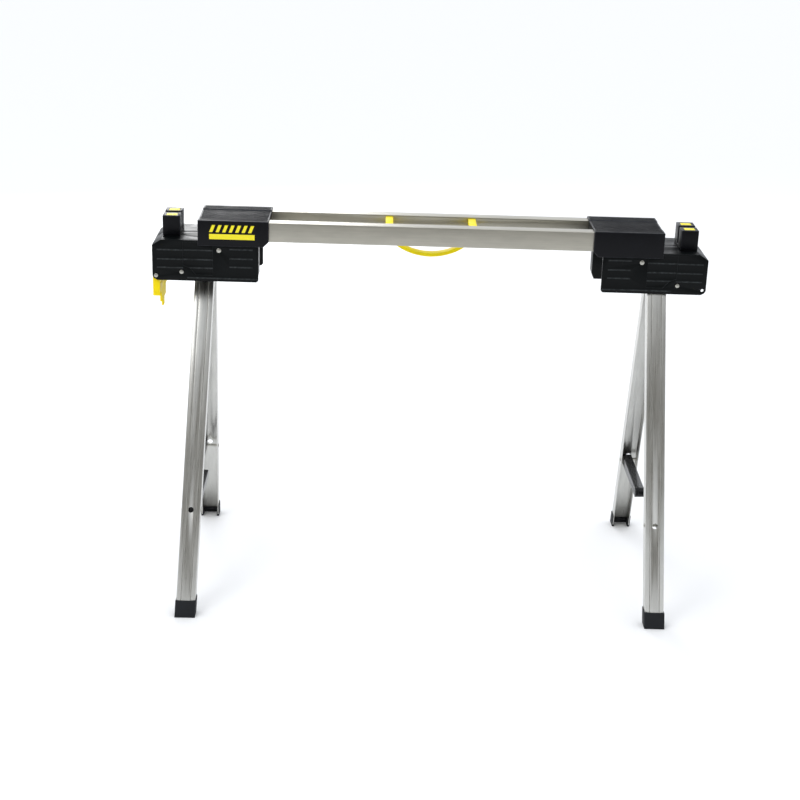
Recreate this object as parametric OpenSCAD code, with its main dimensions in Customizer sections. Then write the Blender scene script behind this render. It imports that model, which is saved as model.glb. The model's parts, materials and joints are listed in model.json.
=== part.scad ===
// Folding sawhorse with an aluminium twin-rail beam and two folding leg pairs.
// X runs along the beam, Y across it, Z is up. The origin is on the floor, midway between the feet.
// The two ends are the same parts, turned by half a turn about Z. Each leg pair hangs from a hub
// that swings about a cross axle, and the pair lies beside the middle of the beam, so that both
// closed pairs can lie next to each other below the rails.

/* [Overall] */
// Height of the work surface above the floor
work_h = 810; // [680:1:980]
// Length of the two beam rails
rail_l = 962; // [800:1:1200]
// Depth of the beam across its two side faces
beam_d = 140; // [134:1:170]
// Distance between the outer faces of the front and rear feet
stance = 556; // [460:1:670]

/* [Rails] */
// Width of one rail
rail_w = 28; // [22:1:34]
// Height of one rail
rail_h = 40; // [30:1:50]
// Wall of the rail extrusion
rail_t = 2; // [1.5:0.1:3]

/* [Caps] */
// Length of an end cap along the beam
cap_l = 147; // [120:1:180]
// Thickness of the cap's top over the rails
cap_t = 3; // [2:0.5:5]
// Thickness of the cap's side skirts and end wall
skirt_t = 4; // [3:0.5:5]
// Depth of the shallow channel along the top of a cap
cap_dip = 1.5; // [0.5:0.5:2.5]
// How far a skirt hangs below the rails
skirt_drop = 11; // [6:1:16]

/* [Housings] */
// Height of a housing, from its bottom edge to the deck
housing_h = 87; // [82:1:105]
// Thickness of a housing's side plate
plate_t = 4; // [3:0.5:5]
// Thickness of the deck and of the end wall
deck_t = 5; // [4:0.5:7]
// How far the housing stops short of the cap's inner edge
housing_in = 21; // [12:1:30]
// Width of the slot that holds a board on edge
slot_w = 40; // [36:1:50]
// Length of a stop post along the beam
post_l = 36; // [28:1:44]
// Length of the sloping nose past the stop posts
nose_l = 19; // [15:1:30]
// Wall of the box beside the leg well
box_t = 3; // [2:0.5:4]
// Distance of the fold axle from the ends of the rails
axle_in = 40; // [34:1:48]
// Depth of the fold axle below the deck
axle_drop = 20; // [17:1:24]

/* [Stop posts] */
// Width of one tower of a stop post
tower_w = 32; // [24:1:36]
// Gap between the two towers
tower_gap = 12; // [8:1:20]
// Thickness of the pad on a tower
pad_t = 2; // [1:0.5:4]

/* [Legs] */
// Width of a leg channel
leg_w = 40; // [32:1:46]
// Depth of a leg channel
leg_d = 28; // [24:1:28]
// Wall of a leg channel
leg_t = 2.2; // [1.6:0.1:3]
// Width of the flat band along the middle of a leg's outer face
band_w = 19; // [12:1:24]
// Width of the groove on each side of that band
groove_w = 1.6; // [1:0.1:2.5]
// Depth of those grooves
groove_t = 1.1; // [0.5:0.1:1.3]
// Outward lean of a leg pair along the beam
splay = 1.7; // [0:0.1:4]
// Distance of a leg's hinge pin from the channel's open edge
pin_in = 6.5; // [5.5:0.5:8]

/* [Feet] */
// Height of a rubber foot
foot_h = 33; // [24:1:45]
// Wall of a rubber foot
foot_t = 1.6; // [1:0.1:2]
// Thickness of the sole below the channel
sole_t = 5; // [3:0.5:8]

/* [Spreaders] */
// Height of the spreader above the floor
spreader_z = 205; // [160:1:280]
// Height of a spreader link's section
link_h = 20; // [14:1:22]
// Wall of a pressed spreader link
link_t = 2; // [1.5:0.1:2.5]
// Width of the slim spreader link, which lies beside the wide one
slim_w = 8.5; // [7:0.5:11]
// Clearance between the spreader links and the side walls of their legs
link_side = 2.8; // [2.6:0.1:4]

/* [Fasteners] */
// Diameter of the fold axle
axle_d = 7; // [6:0.5:8]
// Diameter of the hinge pins, cross bolts and latch pin
pin_d = 6; // [5:0.5:7]
// Diameter of the round head of an axle
axle_head_d = 9.5; // [9.5:0.5:14]
// Diameter of the round heads of the smaller bolts
bolt_head_d = 8.5; // [8.5:0.5:11]

/* [Handle] */
// Distance between the two cross bars of the carry handle
handle_l = 176; // [150:1:220]
// Width of the handle strap
strap_w = 24; // [16:1:30]
// Thickness of the handle strap
strap_t = 7; // [4:0.5:8]
// Width of a cross bar
bar_w = 16; // [12:1:20]
// Thickness of a cross bar
bar_t = 5; // [4:0.5:8]
// Drop of the strap's lowest point below the cross bars
strap_drop = 64.5; // [54:0.5:65]

/* [Latch] */
// Width of a latch arm
latch_w = 15; // [11:0.5:16]
// Length of a latch arm below its pin
latch_l = 46; // [36:1:56]

/* [Hidden] */

// Facets of a full circle
$fn = 64;
// Overshoot of a cut past the face it opens
cut = 1;
// Larger than the whole object
big = 3000;
// Clearance of a shaft in its hole
fit = 0.08;
// Clearance between pieces that pass each other
gap = 0.5;

// Levels
rail_top = work_h - cap_t;
deck_z = rail_top - rail_h;
housing_z = deck_z - housing_h;
skirt_z = deck_z - skirt_drop;

// Places along the beam, for the right end
rail_end = rail_l / 2;
cap_out = rail_end + skirt_t;
cap_in = cap_out - cap_l;
housing_x = cap_in + housing_in;
post_x = cap_out + slot_w;
nose_x = post_x + post_l;
end_x = nose_x + nose_l;

// Places across the beam
side_y = beam_d / 2;
plate_y = side_y - plate_t;
rail_out = side_y - skirt_t - gap;
rail_in = rail_out - rail_w;

// Fold axle, measured from the end of the rails and from the deck
axle_x = rail_end - axle_in;
axle_z = deck_z - axle_drop;

// Leg pair: its middle plane, its hinge pins and its two hinge angles. The near leg is the one
// beside the side plate, and the far leg is the one beside the middle of the beam.
pair_gap = 1;
mid_gap = 4.75;
pin_out = 37;
pin_up = 10;
pair_y = mid_gap + leg_d + pair_gap / 2;
pin_y = pair_gap / 2 + pin_in;
pin_x = axle_x + pin_out;
pin_z = housing_z + pin_up;
pin_drop = pin_z / cos(splay);
web_u = leg_d - pin_in;
side_fall = 1.6;
web_t = leg_t + side_fall / 2;
// Rough leans of the two legs, which give the level thickness of a foot's wall
near_slope = 18;
far_slope = 22;
near_lean = lean(stance / 2 - foot_t / cos(near_slope) - pair_y - pin_y);
far_lean = lean(stance / 2 - foot_t / cos(far_slope) + pair_y - pin_y);
// Angle at which a leg's outer face reaches the distance b from its pin at the floor
function lean(b) = acos(web_u / norm([b, pin_drop])) - atan2(pin_drop, b);

// Spreader pivots: distance out from the leg's pin line, and distance down each leg
link_u = 6;
link_drop = pin_drop - spreader_z / cos(splay);
near_link_w = (link_drop + link_u * sin(near_lean)) / cos(near_lean);
far_link_w = (link_drop + link_u * sin(far_lean)) / cos(far_lean);
near_link_y = -pair_y - pin_y - link_u * cos(near_lean) - near_link_w * sin(near_lean);
far_link_y = -pair_y + pin_y + link_u * cos(far_lean) + far_link_w * sin(far_lean);
// The two links meet where both fold up to the same height between the closed legs
link_mid_y = (near_link_y + far_link_y - (far_link_w - near_link_w)) / 2;

// Hub, measured from the fold axle
hub_r = 13.5;
hub_d = 2 * leg_d + pair_gap;
hub_out = 54;
hub_rise = 15.5;
hub_floor = pin_z + hub_rise;

// Box beside the leg well, on the side away from the near leg. The right one reaches past its plate.
well_gap = 2;
box_past = 7;
box_y = mid_gap + leg_d + well_gap;
box_end = axle_x + hub_out + 5;

// Cross bolt and latch pin, measured from the nose and from the housing's bottom edge
cross_in = 6;
cross_up = 19;
latch_in = 7.5;
latch_up = 10;
cross_x = post_x - cross_in;
cross_z = housing_z + cross_up;
latch_x = end_x - latch_in;
latch_z = housing_z + latch_up;

// Handle: radii of its low curve and of its two upward curves
low_r = 125;
low_a = 30;
side_r = 45;
side_a = 80;
bar_low = 3;
bar_z = rail_top - bar_low;

// Turns children by half a turn, which makes the left end out of the right one
module left() {
    rotate([0, 0, 180]) children();
}

// A bar along Y between two places
module y_bar(r, y0, y1) {
    translate([0, y0, 0]) rotate([-90, 0, 0]) cylinder(r = r, h = y1 - y0);
}

// A bar along X between two places
module x_bar(r, x0, x1) {
    translate([x0, 0, 0]) rotate([0, 90, 0]) cylinder(r = r, h = x1 - x0);
}

// An outline in X and Z, given a thickness between two places in Y
module y_slab(points, y0, y1) {
    translate([0, y1, 0]) rotate([90, 0, 0]) linear_extrude(y1 - y0) polygon(points);
}

// A box between two corners
module block(a, b) {
    translate(a) cube(b - a);
}

// A round-headed pin along Z from 0 to l, with a shallow domed head on each end
module rivet(d, head_d, l) {
    head_t = 0.24 * head_d;
    rim_t = 0.12 * head_d;
    dome_r = (pow(head_d / 2, 2) + pow(head_t - rim_t, 2)) / (2 * (head_t - rim_t));
    dome_a = asin(head_d / 2 / dome_r);
    dome = [for (i = [0:6]) dome_r * [sin(dome_a * i / 6), cos(dome_a * i / 6) - 1] + [0, head_t]];
    rotate_extrude() polygon(concat(
        [for (p = dome) [p.x, l + p.y]],
        [[head_d / 2, l], [d / 2, l], [d / 2, 0], [head_d / 2, 0]],
        [for (i = [6:-1:0]) [dome[i].x, -dome[i].y]]
    ));
}

// A round-headed pin along Y between two faces
module y_rivet(d, head_d, y0, y1) {
    translate([0, y0, 0]) rotate([-90, 0, 0]) rivet(d, head_d, y1 - y0);
}

// A round-headed pin along X between two faces
module x_rivet(d, head_d, x0, x1) {
    translate([x0, 0, 0]) rotate([0, 90, 0]) rivet(d, head_d, x1 - x0);
}

// ---- Beam ----

// Pegs that hold the handle in the rails' inner walls
peg_d = 8;
peg_l = 4;
peg_z = bar_z - bar_t / 2 - 3;

// The rail on the side with positive Y: a square tube
module rail() {
    difference() {
        block([-rail_end, rail_in, deck_z], [rail_end, rail_out, rail_top]);
        block([-rail_end - cut, rail_in + rail_t, deck_z + rail_t],
            [rail_end + cut, rail_out - rail_t, rail_top - rail_t]);
        for (s = [-1, 1]) translate([s * handle_l / 2, 0, peg_z])
            y_bar(peg_d / 2, rail_in - cut, rail_in + rail_t + cut);
        rail_screw_places() translate([0, 0, deck_z - cut]) cylinder(d = screw_d, h = rail_t + 2 * cut);
    }
}

module front_rail() {
    color("#c9c8c2") mirror([0, 1, 0]) rail();
}

module rear_rail() {
    color("#c9c8c2") rail();
}

// Saddle over both rails, with a closed outer end and a shallow channel along its top
module cap() {
    comb_up = 4;
    dip_y = rail_in - 2;
    skirt = [
        [cap_in, work_h], [cap_out, work_h], [cap_out, skirt_z], [cap_in + skirt_drop, skirt_z],
        [cap_in, deck_z]
    ];
    difference() {
        union() {
            y_slab(skirt, -side_y, -side_y + skirt_t);
            y_slab(skirt, side_y - skirt_t, side_y);
            block([cap_in, -side_y + skirt_t, rail_top], [cap_out, side_y - skirt_t, work_h]);
            block([rail_end, -side_y + skirt_t, deck_z], [cap_out, side_y - skirt_t, rail_top]);
            block([cap_in, -rail_in + gap, deck_z + comb_up],
                [cap_in + skirt_t, rail_in - gap, rail_top]);
        }
        block([cap_in - cut, -dip_y, work_h - cap_dip], [cap_out + cut, dip_y, work_h + cut]);
    }
}

module right_cap() {
    color("#23262a") cap();
}

module left_cap() {
    color("#23262a") left() cap();
}

// ---- Housings ----

screw_d = 4;
screw_head_d = 8;
screw_head_t = 3;
open_hole_d = 6.6;
rib_in_nose = 9;
rib_t = 1.4;
rib_h = 2.6;
rib_levels = [for (d = [20, 40, 58]) deck_z - d];
panel_t = 2;
panel_half = 31;
nose_fall = 12;
lip_t = 3.5;
lip_drop = 8;
sleeve_t = 3;

// The screw lines of both ends, in a rail on the side with positive Y
module rail_screw_places() {
    from_ends = 16;
    for (s = [-1, 1], x = [housing_x + from_ends, rail_end - from_ends])
        translate([s * x, rail_in + rail_w / 2, 0]) children();
}

// A raised rib along X on the outer face, with a sloping top whose upper edge is at z
module rib(x0, x1, z) {
    translate([x0, -side_y, z]) rotate([90, 0, 90]) linear_extrude(x1 - x0)
        polygon([[cut, 0], [0, 0], [-rib_t, -rib_t], [-rib_t, -rib_h], [cut, -rib_h]]);
}

// Side plate as seen from its outer face, with a recessed panel and raised ribs
module plate(has_pin) {
    corner = 4;
    nose_corner = [[end_x, housing_z + 9], [end_x - 3, housing_z + 4], [end_x - 10, housing_z]];
    panel_in = cap_out - panel_half;
    panel_out = cap_out + panel_half;
    panel_low = cross_z - 6;
    edge = concat(
        [[housing_x, skirt_z], [cap_out, skirt_z], [cap_out, deck_z], [nose_x, deck_z]],
        [[end_x, deck_z - nose_fall]], nose_corner,
        [[housing_x + corner, housing_z], [housing_x, housing_z + corner]]
    );
    panel = [
        [panel_in, skirt_z + cut], [cap_out, skirt_z + cut], [cap_out, deck_z - corner],
        [panel_out, deck_z - corner], [panel_out, cross_z + 14], [cross_x - 18, cross_z + 8],
        [cross_x - 30, panel_low], [panel_in, panel_low]
    ];
    inner_rib = [housing_x + 12, axle_x - 22];
    inner_rib_up = 4;
    low_rib = [housing_x + 2, cross_x - 12];
    low_rib_z = housing_z + 8;
    difference() {
        union() {
            y_slab(edge, -side_y, -plate_y);
            for (z = rib_levels) {
                rib(panel_out, nose_x + rib_in_nose, z);
                rib(inner_rib[0], inner_rib[1], z + inner_rib_up);
            }
            rib(low_rib[0], low_rib[1], low_rib_z);
        }
        y_slab(panel, -side_y - cut, -side_y + panel_t);
        translate([axle_x, 0, axle_z]) y_bar(axle_d / 2, -side_y - cut, -plate_y + cut);
        translate([cross_x, 0, cross_z]) y_bar(pin_d / 2, -side_y - cut, -plate_y + cut);
        translate([latch_x, 0, latch_z])
            y_bar((has_pin ? pin_d : open_hole_d) / 2, -side_y - 2 * cut, -plate_y + cut);
    }
    for (z = rib_levels) translate([0, panel_t, 0]) rib(panel_in, panel_out, z);
}

// Half of a housing on the side with negative Y: plate, lip, deck, nose and end wall
module half_housing(has_pin) {
    wall_z = housing_z + 26;
    nose = [
        [nose_x - cut, deck_z], [nose_x, deck_z], [end_x, deck_z - nose_fall], [end_x, wall_z],
        [end_x - plate_t, wall_z], [end_x - plate_t, deck_z - nose_fall - 2],
        [nose_x - cut, deck_z - deck_t]
    ];
    difference() {
        union() {
            plate(has_pin);
            block([housing_x, -plate_y, skirt_z - lip_drop], [cap_out + skirt_t, -plate_y + lip_t, deck_z]);
            block([housing_x, -plate_y, deck_z - deck_t], [nose_x, 0, deck_z]);
            y_slab(nose, -plate_y, 0);
        }
        mirror([0, 1, 0]) rail_screw_places() translate([0, 0, deck_z - deck_t - cut])
            cylinder(d = screw_d, h = deck_t + 2 * cut);
        translate([post_x + post_l / 2, -(tower_gap + tower_w) / 2, deck_z - deck_t - cut])
            cylinder(d = screw_d, h = deck_t + 2 * cut);
        translate([axle_x, 0, axle_z]) y_bar(axle_d / 2 + sleeve_t, -plate_y, -plate_y + lip_t + cut);
    }
}

// Near half: it also carries the rib that stops the hub when the legs stand
module near_housing(has_pin) {
    stop_x = axle_x + hub_out + gap;
    stop_z = pin_z + 19;
    half_housing(has_pin);
    block([stop_x, -plate_y, stop_z], [stop_x + skirt_t, -mid_gap, deck_z - deck_t]);
}

// Far half: it also carries the closed box beside the leg well, which starts at box_x
module far_housing(has_pin, box_x) {
    cutaway = 14;
    well_x = max(box_x, housing_x) + box_t;
    head_room = 0.5;
    box = [
        [box_x, deck_z - deck_t], [box_end, deck_z - deck_t], [box_end, housing_z],
        [box_x + 5, housing_z], [box_x, housing_z + cutaway]
    ];
    mirror([0, 1, 0]) half_housing(has_pin);
    difference() {
        y_slab(box, box_y, plate_y);
        block([well_x, box_y + box_t, housing_z - cut],
            [box_end - box_t, plate_y + cut, deck_z - deck_t + cut]);
        translate([axle_x, 0, axle_z]) y_bar(axle_d / 2, box_y - cut, box_y + box_t + cut);
        rail_screw_places() translate([0, 0, deck_z - deck_t - screw_head_t - head_room])
            cylinder(d = screw_head_d + 2 * head_room, h = screw_head_t + head_room + cut);
    }
}

module right_housing_front() {
    color("#26292b") near_housing(false);
}

module right_housing_rear() {
    color("#26292b") far_housing(false, housing_x - box_past);
}

module left_housing_front() {
    color("#26292b") left() far_housing(true, housing_x);
}

module left_housing_rear() {
    color("#26292b") left() near_housing(true);
}

// ---- Stop posts ----

post_base = 6;
post_screw_l = 16;
pad_in = [7, 7.5];

module tower_places() {
    for (s = [-1, 1]) translate([0, s * (tower_gap + tower_w) / 2, 0]) children();
}

module pad_block(z1) {
    block([post_x + pad_in.x, -tower_w / 2 + pad_in.y, work_h - pad_t],
        [nose_x - pad_in.x, tower_w / 2 - pad_in.y, z1]);
}

module stop_post() {
    difference() {
        union() {
            block([post_x, -tower_gap / 2 - tower_w, deck_z],
                [nose_x, tower_gap / 2 + tower_w, deck_z + post_base]);
            tower_places() block([post_x, -tower_w / 2, deck_z], [nose_x, tower_w / 2, work_h]);
        }
        tower_places() {
            pad_block(work_h + cut);
            translate([post_x + post_l / 2, 0, deck_z - cut])
                cylinder(d = screw_d, h = post_screw_l + 2 * cut);
        }
    }
}

module right_stop_post() {
    color("#23262a") stop_post();
}

module left_stop_post() {
    color("#23262a") left() stop_post();
}

module stop_pads() {
    color("#ffe81f") for (a = [0, 180]) rotate([0, 0, a]) tower_places() pad_block(work_h);
}

// ---- Label: a plain bar below a row of slanted stripes ----

label_l = 94;
label_x = -cap_out + 24;
label_t = 0.5;
stripes = 7;

module label_stripes() {
    bar_h = 11;
    stripe_h = 15;
    pitch = label_l / stripes;
    low = deck_z + 4;
    color("#f5e93a") {
        block([label_x, -side_y - label_t, low], [label_x + label_l, -side_y, low + bar_h]);
        for (i = [0:stripes - 1]) translate([label_x + i * pitch, 0, low + bar_h + 4])
            y_slab([[0, 0], [pitch * 0.5, 0], [pitch * 0.95, stripe_h], [pitch * 0.45, stripe_h]],
                -side_y - label_t, -side_y);
    }
}

// ---- Carry handle ----

// A stretch of the strap: an arc of radius r about Y through the angles a0 to a1 from straight down
module strap_arc(r, a0, a1) {
    rotate([90, 0, 0]) rotate([0, 0, a0 - 90]) rotate_extrude(angle = a1 - a0)
        translate([r - strap_t / 2, -strap_w / 2]) square([strap_t, strap_w]);
}

module carry_handle() {
    rise = low_r * (1 - cos(low_a));
    side_x = low_r * sin(low_a);
    top_x = side_x + side_r * (sin(side_a) - sin(low_a));
    top_z = rise + side_r * (cos(low_a) - cos(side_a));
    low_z = bar_z - bar_t - strap_drop;
    straight = (bar_z - bar_t / 2 - low_z - top_z) / sin(side_a);
    ear = 6;
    ear_h = 8;
    bar_x0 = handle_l / 2 - bar_w / 2;
    bar_x1 = handle_l / 2 + bar_w / 2;
    color("#f2d21a") {
        translate([0, 0, low_z + low_r]) strap_arc(low_r, -low_a, low_a);
        for (s = [0, 180]) rotate([0, 0, s]) {
            translate([side_x - side_r * sin(low_a), 0, low_z + rise + side_r * cos(low_a)])
                strap_arc(side_r, low_a, side_a);
            translate([top_x, 0, low_z + top_z]) rotate([0, 90 - side_a, 0])
                translate([-strap_t / 2, -strap_w / 2, 0]) cube([strap_t, strap_w, straight]);
            block([bar_x0, -rail_in, bar_z - bar_t], [bar_x1, rail_in, bar_z]);
            for (m = [0, 1]) mirror([0, m, 0]) {
                block([bar_x0, rail_in - ear, bar_z - bar_t - ear_h], [bar_x1, rail_in, bar_z - bar_t]);
                translate([handle_l / 2, 0, peg_z]) y_bar(peg_d / 2, rail_in - ear / 2, rail_in + peg_l);
            }
        }
    }
}

// ---- Fasteners of the housings ----

module fold_axles() {
    color("#c4c4be") for (a = [0, 180]) rotate([0, 0, a])
        translate([axle_x, 0, axle_z]) y_rivet(axle_d, axle_head_d, -side_y, side_y);
}

// Sleeves that hold the hub at its place along the axle
module axle_spacers() {
    near = -pair_y - hub_d / 2 - gap / 2;
    far = -pair_y + hub_d / 2 + gap / 2;
    color("#8f9193") for (a = [0, 180]) rotate([0, 0, a]) translate([axle_x, 0, axle_z])
        for (span = [[-plate_y, near], [far, box_y]]) difference() {
            y_bar(axle_d / 2 + sleeve_t, span[0], span[1]);
            y_bar(axle_d / 2, span[0] - cut, span[1] + cut);
        }
}

module cross_bolts() {
    color("#b9b9b3") for (a = [0, 180]) rotate([0, 0, a])
        translate([cross_x, 0, cross_z]) y_rivet(pin_d, bolt_head_d, -side_y, side_y);
}

module bolt_sleeves() {
    color("#8f9193") for (a = [0, 180]) rotate([0, 0, a]) translate([cross_x, 0, cross_z])
        difference() {
            y_bar(pin_d / 2 + sleeve_t, -plate_y, plate_y);
            y_bar(pin_d / 2, -plate_y - cut, plate_y + cut);
        }
}

// A screw from below the deck, with its head under it
module screw(reach) {
    head_z = deck_z - deck_t - screw_head_t;
    translate([0, 0, head_z]) cylinder(d = screw_head_d, h = screw_head_t);
    translate([0, 0, head_z]) cylinder(d = screw_d, h = screw_head_t + deck_t + reach);
}

module rail_screws() {
    color("#77797b") for (m = [0, 1]) mirror([0, m, 0]) rail_screw_places() screw(rail_t + 3);
}

module post_screws() {
    color("#77797b") for (a = [0, 180]) rotate([0, 0, a])
        tower_places() translate([post_x + post_l / 2, 0, 0]) screw(post_screw_l);
}

// ---- Latch: a bail on a pin across the left housing ----

module latch_pin() {
    color("#b9b9b3") left()
        translate([latch_x, 0, latch_z]) y_rivet(pin_d, bolt_head_d, -side_y, side_y);
}

module latch() {
    arm_t = 7;
    arm_y = plate_y - gap;
    web_y = 34;
    web_t = 4;
    web_h = 24;
    tongue_y = 9;
    apron = 22;
    tongue = 16;
    web_x0 = -latch_w / 2 + 1;
    web_x1 = web_x0 + web_t;
    apron_z = -latch_l - apron;
    color("#ffe01c") left() translate([latch_x, 0, latch_z]) difference() {
        union() {
            for (m = [0, 1]) mirror([0, m, 0]) {
                y_bar(latch_w / 2, arm_y - arm_t, arm_y);
                block([-latch_w / 2, arm_y - arm_t, -latch_l], [latch_w / 2, arm_y, 0]);
            }
            block([web_x0, -arm_y, -latch_l], [web_x1, arm_y, -latch_l + web_h]);
            block([web_x0, -web_y, apron_z], [web_x1, web_y, -latch_l + cut]);
            block([web_x0, -tongue_y, apron_z - tongue], [web_x1, tongue_y, apron_z + cut]);
        }
        y_bar(pin_d / 2 + fit, -arm_y - cut, arm_y + cut);
    }
}

// ---- Leg pairs ----

// Frame of a right-hand leg pair: its origin is level with the hinge pins
module pair() {
    translate([pin_x, 0, pin_z]) rotate([0, -splay, 0]) children();
}

// Frame of one leg, with its pin at the origin, the leg down Z and its outer face towards -Y
module leg_frame(far) {
    translate([0, -pair_y + (far ? pin_y : -pin_y), 0]) rotate([0, 0, far ? 180 : 0])
        rotate([far ? -far_lean : -near_lean, 0, 0]) children();
}

// Everything above a level
module above(z) {
    translate([-big / 2, -big / 2, z]) cube(big);
}

// Section of the leg channel, open towards +Y. Beside the band, two grooves and faces that fall back.
module leg_section() {
    w = leg_w / 2;
    band = band_w / 2;
    outer = [
        [band, -web_u], [band, -web_u + groove_t], [band + groove_w, -web_u + groove_t],
        [band + groove_w, -web_u], [w, -web_u + side_fall], [w, pin_in], [w - leg_t, pin_in],
        [w - leg_t, -web_u + web_t]
    ];
    polygon(concat(outer, [for (i = [len(outer) - 1:-1:0]) [-outer[i].x, outer[i].y]]));
}

module leg(far) {
    pivot_w = far ? far_link_w : near_link_w;
    intersection() {
        pair() leg_frame(far) difference() {
            translate([0, 0, -big / 2]) linear_extrude(big / 2 + pin_in) leg_section();
            difference() {
                block([-leg_w, 0, 0], [leg_w, pin_in + cut, pin_in + cut]);
                x_bar(pin_in, -leg_w - cut, leg_w + cut);
            }
            x_bar(pin_d / 2 + fit, -leg_w, leg_w);
            translate([0, -link_u, -pivot_w]) {
                x_bar(pin_d / 2, -leg_w, leg_w);
                y_bar(pin_d, -leg_d, 0);
            }
        }
        above(sole_t);
    }
}

// Foot: a rubber boot over the end of the channel, cut level at the floor
module foot(far) {
    lining = 2;
    lining_h = 13;
    w = leg_w / 2;
    out = w + foot_t;
    in = w - leg_t - lining;
    top = -web_u - foot_t;
    difference() {
        intersection() {
            pair() leg_frame(far) translate([0, 0, -big / 2]) linear_extrude(big / 2) polygon([
                [-out, pin_in], [-out, top], [out, top], [out, pin_in], [in, pin_in],
                [in, -web_u + web_t + lining], [-in, -web_u + web_t + lining], [-in, pin_in]
            ]);
            block([-big, -big, 0], [big, big, foot_h]);
        }
        intersection() {
            pair() leg_frame(far) translate([0, 0, -big / 2]) linear_extrude(big / 2) leg_section();
            above(sole_t);
        }
        intersection() {
            pair() leg_frame(far) block([-w + leg_t, -web_u + web_t, -big / 2], [w - leg_t, leg_d, 0]);
            above(lining_h);
        }
    }
}

module right_front_leg() {
    color("#b9bcba") leg(false);
}

module right_rear_leg() {
    color("#b9bcba") leg(true);
}

module left_front_leg() {
    color("#b9bcba") left() leg(true);
}

module left_rear_leg() {
    color("#b9bcba") left() leg(false);
}

module right_front_foot() {
    color("#1b1d1f") foot(false);
}

module right_rear_foot() {
    color("#1b1d1f") foot(true);
}

module left_front_foot() {
    color("#1b1d1f") left() foot(true);
}

module left_rear_foot() {
    color("#1b1d1f") left() foot(false);
}

// Hub: turns on the fold axle and carries both hinge pins on a tongue between the channels
module hub() {
    arm = [
        [-4, 9], [30, 6], [hub_out, -8], [hub_out, hub_floor - axle_z],
        [16, hub_floor - axle_z], [-8, -8]
    ];
    tongue_w = leg_w / 2 - leg_t - gap;
    tongue_y = pin_y + 7.5;
    tongue_low = 9;
    blend = 4;
    difference() {
        union() {
            translate([axle_x, -pair_y, axle_z]) {
                y_bar(hub_r, -hub_d / 2, hub_d / 2);
                y_slab(arm, -hub_d / 2, hub_d / 2);
            }
            pair() block([-tongue_w, -pair_y - tongue_y, -tongue_low],
                [tongue_w, -pair_y + tongue_y, hub_rise + blend]);
        }
        translate([axle_x, -pair_y, axle_z]) y_bar(axle_d / 2 + fit, -leg_d - cut, leg_d + cut);
        pair() for (s = [-1, 1]) translate([0, -pair_y + s * pin_y, 0])
            x_bar(pin_d / 2, -leg_w, leg_w);
    }
}

module right_hub() {
    color("#26292b") hub();
}

module left_hub() {
    color("#26292b") left() hub();
}

module leg_pins() {
    reach = leg_w / 2 + gap / 2;
    color("#b9b9b3") pair() for (s = [-1, 1]) translate([0, -pair_y + s * pin_y, 0])
        x_rivet(pin_d, bolt_head_d, -reach, reach);
}

module right_leg_pins() {
    leg_pins();
}

module left_leg_pins() {
    left() leg_pins();
}

// ---- Spreaders ----

eye_r = 11;
link_edge = leg_w / 2 - leg_t - link_side;
slim_in = link_edge - slim_w;

// One link in the pair's frame, from its pivot to the middle joint: a pressed channel with its web on
// top and rolled ends. The near link is slim, and lies beside the wide far one all the way.
module link(far) {
    from = far ? far_link_y : near_link_y;
    length = abs(from - link_mid_y);
    x0 = far ? -link_edge : slim_in;
    x1 = far ? slim_in - 2 * gap : link_edge;
    color("#1d1f21") pair() translate([0, from, -link_drop]) mirror([0, far ? 1 : 0, 0])
        difference() {
            union() {
                for (y = [0, length]) translate([0, y, 0]) x_bar(eye_r, x0, x1);
                block([x0, 0, -link_h / 2], [x1, length, link_h / 2]);
            }
            for (y = [0, length]) translate([0, y, 0]) x_bar(eye_r - link_t, x0 + link_t, x1 - link_t);
            block([x0 + link_t, 0, -eye_r - cut], [x1 - link_t, length, link_h / 2 - link_t]);
            x_bar(pin_d / 2 + fit, x0 - cut, x1 + cut);
            if (!far) translate([0, length, 0]) x_bar(pin_d / 2, x0 - cut, x1 + cut);
        }
}

module link_pin(far) {
    pivot_w = far ? far_link_w : near_link_w;
    color("#b9b9b3") pair() leg_frame(far) translate([0, -link_u, -pivot_w])
        x_rivet(pin_d, bolt_head_d, -leg_w / 2, leg_w / 2);
}

// Rivet of the middle joint: it ends at the near link's inner face
module link_rivet() {
    head_t = 1.5;
    color("#b9b9b3") pair() translate([0, link_mid_y, -link_drop]) {
        x_bar(pin_d / 2, slim_in, link_edge);
        x_bar(bolt_head_d / 2, link_edge, link_edge + head_t);
    }
}

module right_front_link() {
    link(false);
}

module right_rear_link() {
    link(true);
}

module left_front_link() {
    left() link(true);
}

module left_rear_link() {
    left() link(false);
}

module right_front_link_pin() {
    link_pin(false);
}

module right_rear_link_pin() {
    link_pin(true);
}

module left_front_link_pin() {
    left() link_pin(true);
}

module left_rear_link_pin() {
    left() link_pin(false);
}

module right_link_rivet() {
    link_rivet();
}

module left_link_rivet() {
    left() link_rivet();
}

front_rail();
rear_rail();
right_cap();
left_cap();
right_housing_front();
right_housing_rear();
left_housing_front();
left_housing_rear();
right_stop_post();
left_stop_post();
stop_pads();
label_stripes();
carry_handle();
fold_axles();
axle_spacers();
cross_bolts();
bolt_sleeves();
rail_screws();
post_screws();
latch();
latch_pin();
right_hub();
left_hub();
right_leg_pins();
left_leg_pins();
right_front_leg();
right_rear_leg();
left_front_leg();
left_rear_leg();
right_front_foot();
right_rear_foot();
left_front_foot();
left_rear_foot();
right_front_link();
right_rear_link();
left_front_link();
left_rear_link();
right_front_link_pin();
right_rear_link_pin();
left_front_link_pin();
left_rear_link_pin();
right_link_rivet();
left_link_rivet();
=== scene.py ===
"""Folding sawhorse: softened edges, moulded and fastened details, materials and a plain studio."""

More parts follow.
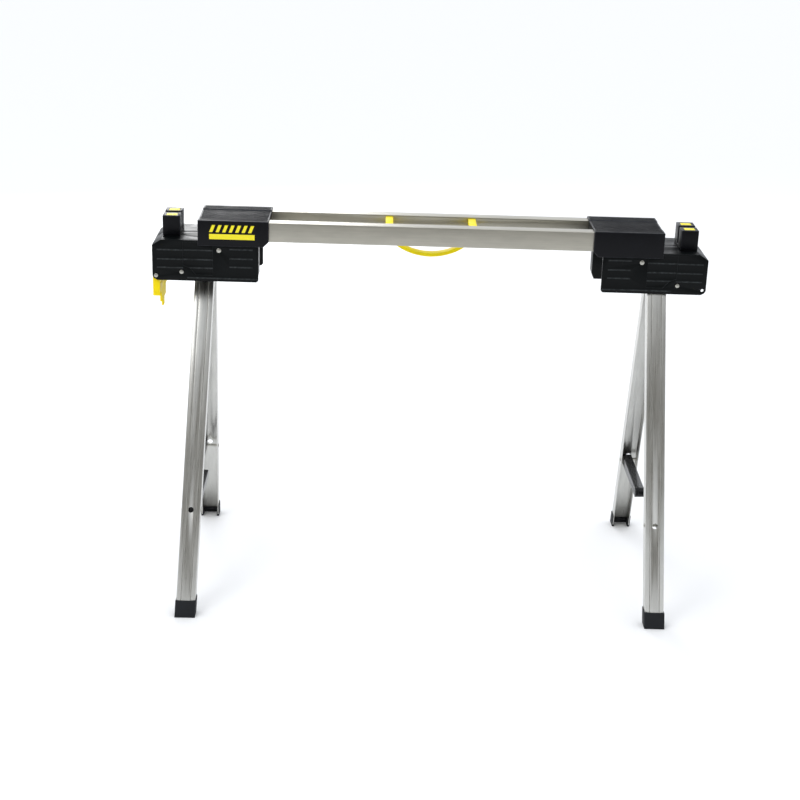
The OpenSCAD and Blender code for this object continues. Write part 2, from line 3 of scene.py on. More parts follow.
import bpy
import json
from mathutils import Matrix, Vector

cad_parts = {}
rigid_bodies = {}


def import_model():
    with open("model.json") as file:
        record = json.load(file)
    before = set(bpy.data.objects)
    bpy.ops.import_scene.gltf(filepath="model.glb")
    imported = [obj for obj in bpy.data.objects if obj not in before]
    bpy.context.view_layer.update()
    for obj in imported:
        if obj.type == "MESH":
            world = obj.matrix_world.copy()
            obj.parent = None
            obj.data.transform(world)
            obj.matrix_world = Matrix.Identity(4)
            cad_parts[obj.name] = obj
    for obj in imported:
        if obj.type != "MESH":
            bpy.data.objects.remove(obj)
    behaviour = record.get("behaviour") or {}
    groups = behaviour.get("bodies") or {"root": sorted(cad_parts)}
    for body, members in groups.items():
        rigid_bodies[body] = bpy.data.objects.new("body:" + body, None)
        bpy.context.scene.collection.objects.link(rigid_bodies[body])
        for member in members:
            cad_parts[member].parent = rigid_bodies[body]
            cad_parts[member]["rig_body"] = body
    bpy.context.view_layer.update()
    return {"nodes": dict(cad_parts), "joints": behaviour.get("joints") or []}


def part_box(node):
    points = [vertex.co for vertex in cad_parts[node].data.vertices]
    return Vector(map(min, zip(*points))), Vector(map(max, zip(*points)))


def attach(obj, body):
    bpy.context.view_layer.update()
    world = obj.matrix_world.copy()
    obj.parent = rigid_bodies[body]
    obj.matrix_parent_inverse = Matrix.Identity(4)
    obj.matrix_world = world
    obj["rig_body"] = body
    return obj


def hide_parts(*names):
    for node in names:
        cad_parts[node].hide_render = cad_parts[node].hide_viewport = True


bl_info = {
    "name": "Folding Sawhorse",
    "version": (1, 0, 0),
    "blender": (4, 5, 0),
    "location": "View3D > Sidebar > Sawhorse",
    "description": "Finishes a folding sawhorse with a twin-rail beam round its packed frame",
    "category": "Object",
}

import json
import math

import bmesh
import bpy
from bpy.props import FloatProperty, FloatVectorProperty, IntProperty, PointerProperty
from mathutils import Matrix, Vector

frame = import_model()

MM = 0.001
# Points nearer than this are one point
MERGE = 0.01 * MM
# Angles between faces: under the first they lie in one plane, over the second their edge is rounded,
# and over the third it is shaded sharp
FLAT, ROUNDED, SHARP = (math.radians(angle) for angle in (0.5, 32, 38))
# A face whose area is under this share of the width times its longest edge counts as narrow
NARROW_SHARE = 1.2
SIDES = ("right", "left")
PLACES = ("front", "rear")
LEGS = [f"{side}_{place}" for side in SIDES for place in PLACES]


# ---- Values, colours and nodes ----


def linear(code):
    """Linear RGBA of an sRGB hex colour such as 'a8a59a'."""
    channels = [int(code[i:i + 2], 16) / 255 for i in (0, 2, 4)]
    return [c / 12.92 if c <= 0.04045 else ((c + 0.055) / 1.055) ** 2.4 for c in channels] + [1.0]


def add(tree, kind, inputs=None, **properties):
    """Adds a node with its properties, input values and links. An input is a value or a socket."""
    item = tree.nodes.new(kind)
    for name, value in properties.items():
        setattr(item, name, value)
    for name, value in (inputs or {}).items():
        if isinstance(value, bpy.types.NodeSocket):
            tree.links.new(value, item.inputs[name])
        else:
            item.inputs[name].default_value = value
    return item


def colour_property(name, description, code):
    """A colour that a user can change, with its default as an sRGB hex code."""
    return FloatVectorProperty(name=name, description=description, subtype="COLOR", size=3,
                               min=0.0, max=1.0, default=linear(code)[:3])


def length_property(name, description, millimetres):
    """A small length in metres, with its default in millimetres."""
    return FloatProperty(name=name, description=description, default=millimetres * MM,
                         min=0.0, unit="LENGTH")


class SawhorseColours(bpy.types.PropertyGroup):
    rail: colour_property("Rail", "Anodised aluminium of the beam rails", "b4b1a6")
    leg: colour_property("Leg", "Anodised aluminium of the legs", "c9c9c5")
    cap: colour_property("Cap", "Moulded end caps and stop posts", "0c0d11")
    housing: colour_property("Housing", "Moulded housings and hubs", "080b0c")
    handle: colour_property("Handle", "Carry handle", "ffe600")
    latch: colour_property("Latch", "Latch", "ffe000")
    print_film: colour_property("Print", "Printed label and pads", "ffee2a")
    rubber: colour_property("Rubber", "Rubber feet", "121418")
    enamel: colour_property("Enamel", "Enamelled spreader links", "0c0d10")
    zinc: colour_property("Zinc", "Plated pins, axles and screws", "b9b8b0")


class SawhorseSizes(bpy.types.PropertyGroup):
    metal_edge: length_property("Metal edge", "Rounding of the aluminium edges", 0.5)
    moulded_edge: length_property("Moulded edge", "Rounding of the caps and posts", 1.2)
    housing_edge: length_property("Housing edge", "Rounding of the housings and their ribs", 0.35)
    yellow_edge: length_property("Yellow edge", "Rounding of the handle and the latch", 1.0)
    rubber_edge: length_property("Rubber edge", "Rounding of the feet", 0.7)
    # Housing rib slopes of this width get the lighter edge colour, a painted highlight where the ribs
    # catch the light.
    rib_slope: length_property("Rib slope", "Width of the worn slopes of the housing ribs", 2.2)
    rib_radius: length_property("Rib radius", "Radius of the ribs on a cap", 0.9)
    rib_proud: length_property("Rib height", "How far a rib stands above a cap", 0.45)
    rib_pitch: length_property("Rib pitch", "Spacing of the ribs on a cap", 4.6)
    rib_margin: length_property("Rib margin", "Plain border round the ribs on a cap", 3.5)
    slot_length: length_property("Slot length", "Length of the slots in a screw's head", 4.6)
    slot_width: length_property("Slot width", "Width of the slots in a screw's head", 1.1)
    bar_sides: IntProperty(name="Rib sides", description="Sides of a round rib", default=10, min=6)


# ---- Materials ----


def start_material(name, colour, roughness, metallic=0.0, specular=0.5):
    """A material with its shader, its mean colour and the values that are the same all over it."""
    material = bpy.data.materials.get(name) or bpy.data.materials.new(name)
    material.use_nodes = True
    tree = material.node_tree
    tree.nodes.clear()
    shader = add(tree, "ShaderNodeBsdfPrincipled", {
        "Base Color": list(colour) + [1.0], "Metallic": metallic, "Roughness": roughness,
        "Specular IOR Level": specular,
    })
    add(tree, "ShaderNodeOutputMaterial", {"Surface": shader.outputs["BSDF"]})
    return material, tree, shader


def place_of(tree, grain, size):
    """Coordinates in units of size, which is in millimetres, from the grain attribute or the object."""
    if grain:
        source = add(tree, "ShaderNodeAttribute", attribute_name="grain").outputs["Vector"]
    else:
        source = add(tree, "ShaderNodeTexCoord").outputs["Object"]
    scale = [1 / (length * MM) for length in size]
    return add(tree, "ShaderNodeMapping", {"Vector": source, "Scale": scale}).outputs["Vector"]


def noise(tree, coordinates, detail=3.0, rough=0.55):
    """Noise with features one unit across."""
    return add(tree, "ShaderNodeTexNoise", {
        "Vector": coordinates, "Scale": 1.0, "Detail": detail, "Roughness": rough,
    }).outputs["Fac"]


def spread(tree, value, low, high):
    """A value of about 0.3 to 0.7 stretched between two levels."""
    return add(tree, "ShaderNodeMapRange", {
        "Value": value, "From Min": 0.3, "From Max": 0.7, "To Min": low, "To Max": high,
    }).outputs["Result"]


def vary_colour(tree, shader, value, dark, light, worn_and_lit=1.6):
    """Mixes the base colour between two shades of itself, and towards a lighter shade along edges,
    which is partly wear and partly a painted highlight.
    """
    colour = shader.inputs["Base Color"].default_value[:3]
    shades = [[min(1.0, c * factor) for c in colour] + [1.0] for factor in (dark, light)]
    mixed = add(tree, "ShaderNodeMix", {
        0: spread(tree, value, 0.0, 1.0), 6: shades[0], 7: shades[1],
    }, data_type="RGBA")
    edge = add(tree, "ShaderNodeAttribute", attribute_name="edge").outputs["Fac"]
    rubbed_and_highlit = add(tree, "ShaderNodeMath", {
        0: edge, 1: spread(tree, noise(tree, place_of(tree, False, (6, 6, 6))), 0.15, 0.75),
    }, operation="MULTIPLY", use_clamp=True)
    # The lighter edge shade is partly rubbed wear and partly a painted highlight, standing in for light
    # caught by rounded edges and rib slopes.
    lit = [min(1.0, c * worn_and_lit + 0.004 * worn_and_lit) for c in colour] + [1.0]
    edged = add(tree, "ShaderNodeMix", {
        0: rubbed_and_highlit.outputs[0], 6: mixed.outputs[2], 7: lit,
    }, data_type="RGBA")
    tree.links.new(edged.outputs[2], shader.inputs["Base Color"])


def emboss(tree, shader, height, strength, depth):
    """Bump of a depth in millimetres."""
    bump = add(tree, "ShaderNodeBump", {"Strength": strength, "Distance": depth * MM,
                                        "Height": height})
    tree.links.new(bump.outputs["Normal"], shader.inputs["Normal"])


def anodised_aluminium(name, colour, roughness):
    """Satin anodised extrusion: die lines along its length, a faint cloudy sheen and soft gloss."""
    material, tree, shader = start_material(name, colour, roughness, metallic=1.0)
    # Die lines are really 0.2 mm apart. They are drawn 1.1 mm wide, so that they show.
    lines = noise(tree, place_of(tree, True, (1.1, 1.1, 260)), detail=4.0)
    clouds = noise(tree, place_of(tree, True, (16, 16, 60)), detail=3.0)
    both = add(tree, "ShaderNodeMath", {0: lines, 1: clouds}, operation="ADD")
    half = add(tree, "ShaderNodeMath", {0: both.outputs[0], 1: 0.5}, operation="MULTIPLY")
    vary_colour(tree, shader, half.outputs[0], 0.84, 1.1, worn_and_lit=1.2)
    tree.links.new(spread(tree, lines, roughness - 0.07, roughness + 0.09),
                   shader.inputs["Roughness"])
    emboss(tree, shader, lines, 0.25, 0.05)
    return material


def moulded_plastic(name, colour, roughness, specular, grain_mm, depth):
    """Glass-filled polypropylene from a spark-eroded mould: a fine leathery grain, matt gloss."""
    material, tree, shader = start_material(name, colour, roughness, specular=specular)
    grain = noise(tree, place_of(tree, False, (grain_mm,) * 3), detail=4.0)
    patches = noise(tree, place_of(tree, False, (38, 38, 38)), detail=2.0)
    # Edges and the sloped faces of the housing ribs are painted about eight times lighter: a painted
    # highlight where they catch the light, with a little wear.
    vary_colour(tree, shader, patches, 0.8, 1.25, worn_and_lit=8.0)
    tree.links.new(spread(tree, patches, roughness - 0.06, roughness + 0.08),
                   shader.inputs["Roughness"])
    emboss(tree, shader, grain, 0.35, depth)
    return material


def yellow_plastic(name, colour):
    """Pigmented polypropylene: bright, slightly waxy, with a soft broad highlight and flow marks."""
    material, tree, shader = start_material(name, colour, 0.5, specular=0.22)
    shader.inputs["Subsurface Weight"].default_value = 0.08
    shader.inputs["Subsurface Radius"].default_value = (2.5 * MM, 1.6 * MM, 0.4 * MM)
    flow = noise(tree, place_of(tree, False, (9, 30, 9)), detail=3.0)
    vary_colour(tree, shader, flow, 0.93, 1.05, worn_and_lit=1.05)
    tree.links.new(spread(tree, flow, 0.44, 0.58), shader.inputs["Roughness"])
    emboss(tree, shader, noise(tree, place_of(tree, False, (1.4,) * 3)), 0.2, 0.05)
    return material


def printed_film(name, colour):
    """Screen-printed vinyl: flat ink with a little unevenness and a low sheen."""
    material, tree, shader = start_material(name, colour, 0.45, specular=0.35)
    ink = noise(tree, place_of(tree, False, (1.8,) * 3), detail=4.0)
    vary_colour(tree, shader, ink, 0.92, 1.04, worn_and_lit=0.9)
    tree.links.new(spread(tree, ink, 0.4, 0.55), shader.inputs["Roughness"])
    return material


def moulded_rubber(name, colour):
    """Carbon-filled rubber: deep matt black with dusty, scuffed patches."""
    material, tree, shader = start_material(name, colour, 0.72, specular=0.35)
    dust = noise(tree, place_of(tree, False, (7, 7, 7)), detail=5.0, rough=0.65)
    vary_colour(tree, shader, dust, 0.75, 1.9, worn_and_lit=3.5)
    tree.links.new(spread(tree, dust, 0.6, 0.85), shader.inputs["Roughness"])
    emboss(tree, shader, noise(tree, place_of(tree, False, (0.9,) * 3)), 0.3, 0.08)
    return material


def black_enamel(name, colour):
    """Stove enamel on pressed steel: smooth and glossy, with a slight orange-peel surface."""
    material, tree, shader = start_material(name, colour, 0.26, specular=0.3)
    peel = noise(tree, place_of(tree, False, (3.2,) * 3), detail=2.0)
    vary_colour(tree, shader, peel, 0.85, 1.3)
    tree.links.new(spread(tree, peel, 0.22, 0.34), shader.inputs["Roughness"])
    emboss(tree, shader, peel, 0.2, 0.04)
    return material


def zinc_plate(name, colour):
    """Bright zinc on turned steel: pale grey, with cloudy patches and small tool marks."""
    material, tree, shader = start_material(name, colour, 0.3, metallic=1.0)
    clouds = noise(tree, place_of(tree, False, (3.5,) * 3), detail=4.0)
    vary_colour(tree, shader, clouds, 0.78, 1.1)
    tree.links.new(spread(tree, clouds, 0.24, 0.42), shader.inputs["Roughness"])
    emboss(tree, shader, noise(tree, place_of(tree, False, (0.7,) * 3)), 0.15, 0.03)
    return material


def make_materials(colours):
    """Every material, by the record's slot name."""
    return {
        "rail_aluminium": anodised_aluminium("anodised_aluminium_rail", colours.rail, 0.36),
        "leg_aluminium": anodised_aluminium("anodised_aluminium_leg", colours.leg, 0.32),
        "slate_plastic": moulded_plastic("grained_nylon_cap", colours.cap, 0.38, 0.14, 1.3, 0.12),
        "black_plastic": moulded_plastic("moulded_polypropylene", colours.housing, 0.36, 0.12,
                                         1.6, 0.08),
        "yellow_plastic": yellow_plastic("yellow_polypropylene", colours.handle),
        "latch_plastic": yellow_plastic("amber_polypropylene", colours.latch),
        "yellow_print": printed_film("printed_film", colours.print_film),
        "black_rubber": moulded_rubber("moulded_rubber", colours.rubber),
        "black_steel": black_enamel("black_enamel_steel", colours.enamel),
        "zinc_steel": zinc_plate("zinc_plated_steel", colours.zinc),
    }


# ---- Meshes ----


def new_piece(name, mesh, material):
    """A piece at the origin, with its place in its mesh."""
    piece = bpy.data.objects.new(name, mesh)
    bpy.context.scene.collection.objects.link(piece)
    mesh.materials.clear()
    mesh.materials.append(material)
    return piece


def settle(piece):
    """Turns what a piece's modifiers make into its plain mesh."""
    graph = bpy.context.evaluated_depsgraph_get()
    graph.update()
    mesh = bpy.data.meshes.new_from_object(piece.evaluated_get(graph))
    piece.modifiers.clear()
    piece.data = mesh
    return piece


def set_grain(mesh, along):
    """Stores each point's place in a frame whose Z runs along the extrusion."""
    turn = Vector(along).normalized().to_track_quat("Z", "Y").to_matrix().transposed()
    attribute = mesh.attributes.new("grain", "FLOAT_VECTOR", "POINT")
    attribute.data.foreach_set("vector", [c for v in mesh.vertices for c in turn @ v.co])


def mark_edges(mesh, width):
    """Stores a 1 on the points of narrow faces only, and a 0 elsewhere, for a lighter edge colour that
    is partly wear and partly a painted highlight.
    """
    flat = set()
    for face in mesh.polygons:
        corners = [mesh.vertices[i].co for i in face.vertices]
        longest = max((a - b).length for a, b in zip(corners, corners[1:] + corners[:1]))
        if face.area > NARROW_SHARE * width * longest:
            flat.update(face.vertices)
    attribute = mesh.attributes.new("edge", "FLOAT", "POINT")
    attribute.data.foreach_set("value", [float(v.index not in flat) for v in mesh.vertices])


def soften(node, width, name, material, along=None, segments=2, narrow=None):
    """A copy of a CAD node with its points merged and its edges rounded, which stands for the node.

    Faces no wider than narrow count as edges and get a painted highlight in their colour, where the
    rounding alone is too fine to show.
    """
    mesh = frame["nodes"][node].data.copy()
    work = bmesh.new()
    work.from_mesh(mesh)
    bmesh.ops.remove_doubles(work, verts=work.verts, dist=MERGE)
    bmesh.ops.dissolve_limit(work, angle_limit=FLAT, verts=work.verts, edges=work.edges)
    work.to_mesh(mesh)
    work.free()
    piece = new_piece(name, mesh, material)
    bevel = piece.modifiers.new("Edges", "BEVEL")
    bevel.width = width
    bevel.segments = segments
    bevel.limit_method = "ANGLE"
    bevel.angle_limit = ROUNDED
    bevel.use_clamp_overlap = False
    bevel.harden_normals = False
    settle(piece)
    piece.data.shade_smooth()
    piece.data.set_sharp_from_angle(angle=SHARP)
    mark_edges(piece.data, narrow or width)
    if along is not None:
        set_grain(piece.data, along)
    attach(piece, frame["nodes"][node]["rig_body"])
    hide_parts(node)
    return piece


def repaint(node, material):
    """Gives a CAD node that stays its material."""
    item = frame["nodes"][node]
    item.data.materials.clear()
    item.data.materials.append(material)


def corners_of(points):
    """The lowest and the highest corner of some points."""
    return [Vector([pick(p[i] for p in points) for i in range(3)]) for pick in (min, max)]


def levels_of(points):
    """The heights at which some points lie, from the lowest up."""
    return sorted({round(p.z, 6) for p in points})


def solids_of(node):
    """The points of each separate solid of a CAD node."""
    work = bmesh.new()
    work.from_mesh(frame["nodes"][node].data)
    bmesh.ops.remove_doubles(work, verts=work.verts, dist=MERGE)
    found, seen = [], set()
    for start in work.verts:
        if start in seen:
            continue
        group, todo = [], [start]
        seen.add(start)
        while todo:
            vertex = todo.pop()
            group.append(vertex.co.copy())
            for edge in vertex.link_edges:
                other = edge.other_vert(vertex)
                if other not in seen:
                    seen.add(other)
                    todo.append(other)
        found.append(group)
    work.free()
    return found


# ---- Node trees for what repeats ----


def start_tree(name, inputs):
    """A tree that takes points and gives a mesh. Inputs are (name, socket type) pairs."""
    tree = bpy.data.node_groups.new(name, "GeometryNodeTree")
    tree.interface.new_socket("Points", in_out="INPUT", socket_type="NodeSocketGeometry")
    for label, kind in inputs:
        tree.interface.new_socket(label, in_out="INPUT", socket_type=kind)
    tree.interface.new_socket("Mesh", in_out="OUTPUT", socket_type="NodeSocketGeometry")
    return tree, tree.nodes.new("NodeGroupInput").outputs


def end_tree(tree, given, item):
    """Puts an item on each point, and makes it one mesh with its material."""
    placed = add(tree, "GeometryNodeInstanceOnPoints", {"Points": given["Points"], "Instance": item})
    real = add(tree, "GeometryNodeRealizeInstances", {"Geometry": placed.outputs["Instances"]})
    painted = add(tree, "GeometryNodeSetMaterial", {
        "Geometry": real.outputs["Geometry"], "Material": given["Material"],
    })
    add(tree, "NodeGroupOutput", {"Mesh": painted.outputs["Geometry"]})
    return tree


def bar_tree():
    """Round bars, such as moulded ribs: each lies along one axis, centred on its point."""
    tree, given = start_tree("Round bars", [
        ("Length", "NodeSocketFloat"), ("Radius", "NodeSocketFloat"), ("Sides", "NodeSocketInt"),
        ("Turn", "NodeSocketVector"), ("Material", "NodeSocketMaterial"),
    ])
    bar = add(tree, "GeometryNodeMeshCylinder", {
        "Vertices": given["Sides"], "Radius": given["Radius"], "Depth": given["Length"],
    })
    turned = add(tree, "GeometryNodeTransform", {
        "Geometry": bar.outputs["Mesh"], "Rotation": given["Turn"],
    })
    smooth = add(tree, "GeometryNodeSetShadeSmooth", {"Geometry": turned.outputs["Geometry"]})
    return end_tree(tree, given, smooth.outputs["Geometry"])


def screw_tree():
    """Pan-head screws seen from below: a shank, a head and a cross recess cut into it."""
    tree, given = start_tree("Cross-recess screws", [
        ("Head radius", "NodeSocketFloat"), ("Head height", "NodeSocketFloat"),
        ("Shank radius", "NodeSocketFloat"), ("Shank length", "NodeSocketFloat"),
        ("Slot length", "NodeSocketFloat"), ("Slot width", "NodeSocketFloat"),
        ("Material", "NodeSocketMaterial"),
    ])
    head = add(tree, "GeometryNodeMeshCylinder", {
        "Vertices": 28, "Radius": given["Head radius"], "Depth": given["Head height"],
    })
    cutters = []
    for pair in (("Slot length", "Slot width"), ("Slot width", "Slot length")):
        size = add(tree, "ShaderNodeCombineXYZ", {
            "X": given[pair[0]], "Y": given[pair[1]], "Z": given["Head height"],
        })
        cube = add(tree, "GeometryNodeMeshCube", {"Size": size.outputs["Vector"]})
        drop = add(tree, "ShaderNodeMath", {0: given["Head height"], 1: -0.55}, operation="MULTIPLY")
        offset = add(tree, "ShaderNodeCombineXYZ", {"Z": drop.outputs[0]})
        cutters.append(add(tree, "GeometryNodeTransform", {
            "Geometry": cube.outputs["Mesh"], "Translation": offset.outputs["Vector"],
        }).outputs["Geometry"])
    recessed = head.outputs["Mesh"]
    for cutter in cutters:
        cut = add(tree, "GeometryNodeMeshBoolean", {"Mesh 1": recessed, "Mesh 2": cutter},
                  operation="DIFFERENCE")
        recessed = cut.outputs["Mesh"]
    shank = add(tree, "GeometryNodeMeshCylinder", {
        "Vertices": 20, "Radius": given["Shank radius"], "Depth": given["Shank length"],
    })
    reach = add(tree, "ShaderNodeMath", {0: given["Head height"], 1: given["Shank length"]},
                operation="ADD")
    rise = add(tree, "ShaderNodeMath", {0: reach.outputs[0], 1: 0.5}, operation="MULTIPLY")
    lift = add(tree, "ShaderNodeCombineXYZ", {"Z": rise.outputs[0]})
    raised = add(tree, "GeometryNodeTransform", {
        "Geometry": shank.outputs["Mesh"], "Translation": lift.outputs["Vector"],
    })
    joined = tree.nodes.new("GeometryNodeJoinGeometry")
    for part in (recessed, raised.outputs["Geometry"]):
        tree.links.new(part, joined.inputs["Geometry"])
    return end_tree(tree, given, joined.outputs["Geometry"])


def grow(name, tree, points, values, material, body):
    """A plain mesh from a tree's items at the given points, riding on a body."""
    mesh = bpy.data.meshes.new(name)
    mesh.from_pydata([tuple(p) for p in points], [], [])
    piece = new_piece(name, mesh, material)
    modifier = piece.modifiers.new("Items", "NODES")
    modifier.node_group = tree
    values = dict(values, Material=material)
    for socket in tree.interface.items_tree:
        if socket.item_type == "SOCKET" and socket.in_out == "INPUT" and socket.name in values:
            modifier[socket.identifier] = values[socket.name]
    settle(piece)
    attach(piece, body)
    return piece


# ---- Pieces ----


def settings():
    """The user's colours and sizes, and the materials made from them."""
    scene = bpy.context.scene
    return scene.sawhorse_colours, scene.sawhorse_sizes, make_materials(scene.sawhorse_colours)


def leg_direction(leg):
    """The direction of a leg channel, from its hinge pin to its foot."""
    joint = next(j for j in frame["joints"] if j["child"] == f"{leg}_leg")
    low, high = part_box(f"{leg}_foot")
    return Vector(joint["pos_m"]) - (low + high) / 2


class SAWHORSE_OT_rails(bpy.types.Operator):
    """Make the two square aluminium rails of the beam"""
    bl_idname = "sawhorse.rails"
    bl_label = "Rails"

    def execute(self, context):
        _, sizes, finishes = settings()
        for place in PLACES:
            soften(f"{place}_rail", sizes.metal_edge, f"{place}_rail_extrusion",
                   finishes["rail_aluminium"], along=(1, 0, 0), segments=3)
        return {"FINISHED"}


class SAWHORSE_OT_caps(bpy.types.Operator):
    """Make the end caps with their non-slip ribs"""
    bl_idname = "sawhorse.caps"
    bl_label = "End caps"

    def execute(self, context):
        _, sizes, finishes = settings()
        material = finishes["slate_plastic"]
        tree = bar_tree()
        for side in SIDES:
            soften(f"{side}_cap", sizes.moulded_edge, f"{side}_cap_shell", material,
                   segments=3)
            points = [v.co for v in frame["nodes"][f"{side}_cap"].data.vertices]
            low, high = corners_of(points)
            channel = levels_of(points)[-2]
            channel_half = max(abs(p.y) for p in points if abs(p.z - channel) < MERGE)
            margin, clear = sizes.rib_margin, 2 * sizes.rib_radius
            count = int((high.y - low.y - 2 * margin) / sizes.rib_pitch)
            ribs = []
            for i in range(count):
                y = (i - (count - 1) / 2) * sizes.rib_pitch
                if abs(abs(y) - channel_half) > clear:
                    top = channel if abs(y) < channel_half else high.z
                    ribs.append(((low.x + high.x) / 2, y, top + sizes.rib_proud - sizes.rib_radius))
            grow(f"{side}_cap_ribs", tree, ribs, {
                "Length": high.x - low.x - 2 * margin, "Radius": sizes.rib_radius,
                "Sides": sizes.bar_sides, "Turn": (0, math.pi / 2, 0),
            }, material, "beam")
        return {"FINISHED"}


class SAWHORSE_OT_housings(bpy.types.Operator):
    """Make the housing shells and the stop posts with their pads"""
    bl_idname = "sawhorse.housings"
    bl_label = "Housings"

    def execute(self, context):
        _, sizes, finishes = settings()
        for side in SIDES:
            for place in PLACES:
                # The rib slopes count as edges here, so they carry the painted highlight of the lighter
                # edge colour.
                soften(f"{side}_housing_{place}", sizes.housing_edge,
                       f"{side}_{place}_housing_shell", finishes["black_plastic"],
                       narrow=sizes.rib_slope)
            soften(f"{side}_stop_post", sizes.moulded_edge, f"{side}_stop_post_body",
                   finishes["slate_plastic"], segments=3)
        soften("stop_pads", sizes.metal_edge, "stop_pad_inserts", finishes["yellow_print"])
        return {"FINISHED"}


class SAWHORSE_OT_handle(bpy.types.Operator):
    """Make the carry handle, a strap between the rails"""
    bl_idname = "sawhorse.handle"
    bl_label = "Carry handle"

    def execute(self, context):
        _, sizes, finishes = settings()
        soften("carry_handle", sizes.yellow_edge, "carry_handle_strap", finishes["yellow_plastic"],
               segments=3)
        return {"FINISHED"}


class SAWHORSE_OT_latch(bpy.types.Operator):
    """Make the hanging latch"""
    bl_idname = "sawhorse.latch"
    bl_label = "Latch"

    def execute(self, context):
        _, sizes, finishes = settings()
        soften("latch", sizes.yellow_edge, "latch_bail", finishes["latch_plastic"],
               segments=3)
        return {"FINISHED"}


class SAWHORSE_OT_legs(bpy.types.Operator):
    """Make the leg channels, the rubber feet, the hubs and the spreader links"""
    bl_idname = "sawhorse.legs"
    bl_label = "Legs"

    def execute(self, context):
        _, sizes, finishes = settings()
        for leg in LEGS:
            soften(f"{leg}_leg", sizes.metal_edge * 0.7, f"{leg}_leg_channel",
                   finishes["leg_aluminium"], along=leg_direction(leg))
            soften(f"{leg}_foot", sizes.rubber_edge, f"{leg}_foot_boot", finishes["black_rubber"])
            soften(f"{leg}_link", sizes.rubber_edge, f"{leg}_link_arm", finishes["black_steel"],
                   segments=3)
        for side in SIDES:
            soften(f"{side}_hub", sizes.moulded_edge, f"{side}_hub_casting",
                   finishes["black_plastic"], segments=3)
        return {"FINISHED"}


class SAWHORSE_OT_fasteners(bpy.types.Operator):
    """Finish the pins and axles, and make the screws under the deck"""
    bl_idname = "sawhorse.fasteners"
    bl_label = "Fasteners"

    def execute(self, context):
        _, sizes, finishes = settings()
        material = finishes["zinc_steel"]
        pins = ["fold_axles", "cross_bolts", "latch_pin", "axle_spacers", "bolt_sleeves"]
        pins += [f"{side}_{name}" for side in SIDES for name in ("leg_pins", "link_rivet")]
        pins += [f"{leg}_link_pin" for leg in LEGS]
        for node in pins:
            repaint(node, material)
        repaint("label_stripes", finishes["yellow_print"])
        tree = screw_tree()
        for node in ("rail_screws", "post_screws"):
            screws = solids_of(node)
            under, seat, tip = levels_of(screws[0])
            boxes = [corners_of(points) for points in screws]
            heads = [((low.x + high.x) / 2, (low.y + high.y) / 2, (under + seat) / 2)
                     for low, high in boxes]
            shank = corners_of([p for p in screws[0] if abs(p.z - tip) < MERGE])
            piece = grow(f"{node}_set", tree, heads, {
                "Head radius": (boxes[0][1].x - boxes[0][0].x) / 2, "Head height": seat - under,
                "Shank radius": (shank[1].x - shank[0].x) / 2, "Shank length": tip - seat,
                "Slot length": sizes.slot_length, "Slot width": sizes.slot_width,
            }, material, "beam")
            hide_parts(node)
        return {"FINISHED"}


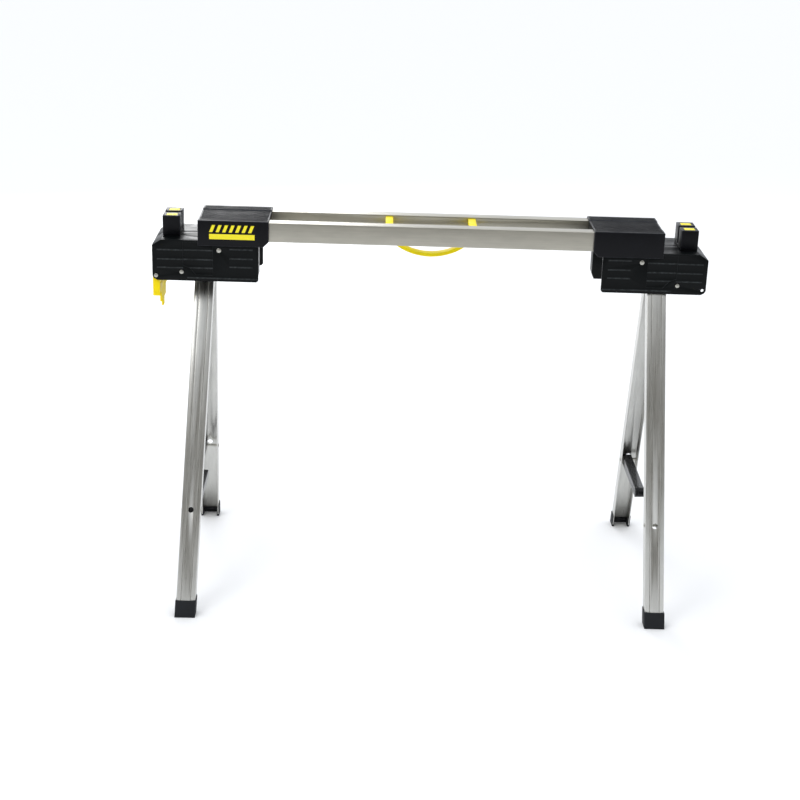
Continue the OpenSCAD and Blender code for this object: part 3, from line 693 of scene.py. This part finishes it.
class SAWHORSE_OT_stage(bpy.types.Operator):
    """Make the floor, the lights and the camera"""
    bl_idname = "sawhorse.stage"
    bl_label = "Stage"

    def execute(self, context):
        scene = context.scene
        scene.view_settings.view_transform = "Standard"
        self.floor()
        self.lights(scene)
        self.camera(scene)
        return {"FINISHED"}

    def floor(self):
        """A pale floor just under the feet."""
        reach, drop = 40.0, 0.2 * MM
        mesh = bpy.data.meshes.new("floor")
        corners = [(-reach, -reach), (reach, -reach), (reach, reach), (-reach, reach)]
        mesh.from_pydata([(x, y, -drop) for x, y in corners], [], [(0, 1, 2, 3)])
        material, _, _ = start_material("pale_floor", linear("fafafa")[:3], 0.9, specular=0.1)
        new_piece("floor", mesh, material)

    def lights(self, scene):
        """A pale studio whose front is dim and warm, and whose back and sides are bright and cool."""
        world = bpy.data.worlds.new("studio")
        scene.world = world
        world.use_nodes = True
        tree = world.node_tree
        tree.nodes.clear()
        away = add(tree, "ShaderNodeTexCoord").outputs["Generated"]
        parts = add(tree, "ShaderNodeSeparateXYZ", {"Vector": away}).outputs
        behind = add(tree, "ShaderNodeMapRange", {
            "Value": parts["Y"], "From Min": -0.85, "From Max": 0.0,
        }, interpolation_type="SMOOTHSTEP").outputs["Result"]
        above = add(tree, "ShaderNodeMapRange", {
            "Value": parts["Z"], "From Min": 0.35, "From Max": 0.8,
        }, interpolation_type="SMOOTHSTEP").outputs["Result"]
        bright = add(tree, "ShaderNodeMath", {0: behind, 1: above}, operation="MAXIMUM").outputs[0]
        shade = add(tree, "ShaderNodeMix", {
            0: bright, 6: [0.20, 0.19, 0.168, 1.0], 7: [1.12, 1.15, 1.2, 1.0],
        }, data_type="RGBA").outputs[2]
        seen = add(tree, "ShaderNodeLightPath").outputs["Is Camera Ray"]
        plain = add(tree, "ShaderNodeMix", {0: seen, 6: shade, 7: [1.0, 1.0, 1.0, 1.0]},
                    data_type="RGBA").outputs[2]
        sky = add(tree, "ShaderNodeBackground", {"Color": plain, "Strength": 1.0})
        add(tree, "ShaderNodeOutputWorld", {"Surface": sky.outputs["Background"]})
        middle = Vector((0, 0, 0.5))
        for name, spot, size, power in (
            ("left_back_panel", (-0.9, 3.2, 1.7), 1.3, 26.0),
            ("key_panel", (-2.2, -2.2, 3.2), 1.6, 30.0),
        ):
            light = bpy.data.lights.new(name, "AREA")
            light.shape = "SQUARE"
            light.size = size
            light.energy = power
            lamp = bpy.data.objects.new(name, light)
            lamp.location = spot
            aim = middle - Vector(spot)
            lamp.rotation_euler = aim.to_track_quat("-Z", "Y").to_euler()
            scene.collection.objects.link(lamp)

    def camera(self, scene):
        """A camera at about eye height in front of the sawhorse, looking down a little."""
        lens = bpy.data.cameras.new("camera")
        lens.sensor_width = 36.0
        lens.lens = 72.0
        camera = bpy.data.objects.new("camera", lens)
        spot = (-0.117, -3.301, 1.608)
        yaw, pitch, roll = (math.radians(angle) for angle in (1.11, 20.07, 1.93))
        ahead = Vector((math.sin(yaw) * math.cos(pitch), math.cos(yaw) * math.cos(pitch),
                        -math.sin(pitch)))
        level = Vector((math.cos(yaw), -math.sin(yaw), 0.0))
        upright = level.cross(ahead)
        right = math.cos(roll) * level + math.sin(roll) * upright
        up = -math.sin(roll) * level + math.cos(roll) * upright
        turn = Matrix((right, up, -ahead)).transposed().to_4x4()
        camera.matrix_world = Matrix.Translation(spot) @ turn
        scene.collection.objects.link(camera)
        scene.camera = camera


class SAWHORSE_PT_panel(bpy.types.Panel):
    """Lists the steps that finish the sawhorse"""
    bl_idname = "SAWHORSE_PT_panel"
    bl_label = "Sawhorse"
    bl_space_type = "VIEW_3D"
    bl_region_type = "UI"
    bl_category = "Sawhorse"

    def draw(self, context):
        for operator in OPERATORS:
            self.layout.operator(operator.bl_idname)
        for group in (context.scene.sawhorse_colours, context.scene.sawhorse_sizes):
            column = self.layout.column()
            for name in group.__annotations__:
                column.prop(group, name)


OPERATORS = (
    SAWHORSE_OT_rails, SAWHORSE_OT_caps, SAWHORSE_OT_housings, SAWHORSE_OT_handle,
    SAWHORSE_OT_latch, SAWHORSE_OT_legs, SAWHORSE_OT_fasteners, SAWHORSE_OT_stage,
)
CLASSES = (SawhorseColours, SawhorseSizes, *OPERATORS, SAWHORSE_PT_panel)


def register():
    for item in CLASSES:
        bpy.utils.register_class(item)
    bpy.types.Scene.sawhorse_colours = PointerProperty(type=SawhorseColours)
    bpy.types.Scene.sawhorse_sizes = PointerProperty(type=SawhorseSizes)


def unregister():
    del bpy.types.Scene.sawhorse_sizes
    del bpy.types.Scene.sawhorse_colours
    for item in reversed(CLASSES):
        bpy.utils.unregister_class(item)


def main():
    """Makes everything in order."""
    register()
    for operator in OPERATORS:
        group, name = operator.bl_idname.split(".")
        getattr(getattr(bpy.ops, group), name)()


if __name__ == "__main__":
    main()
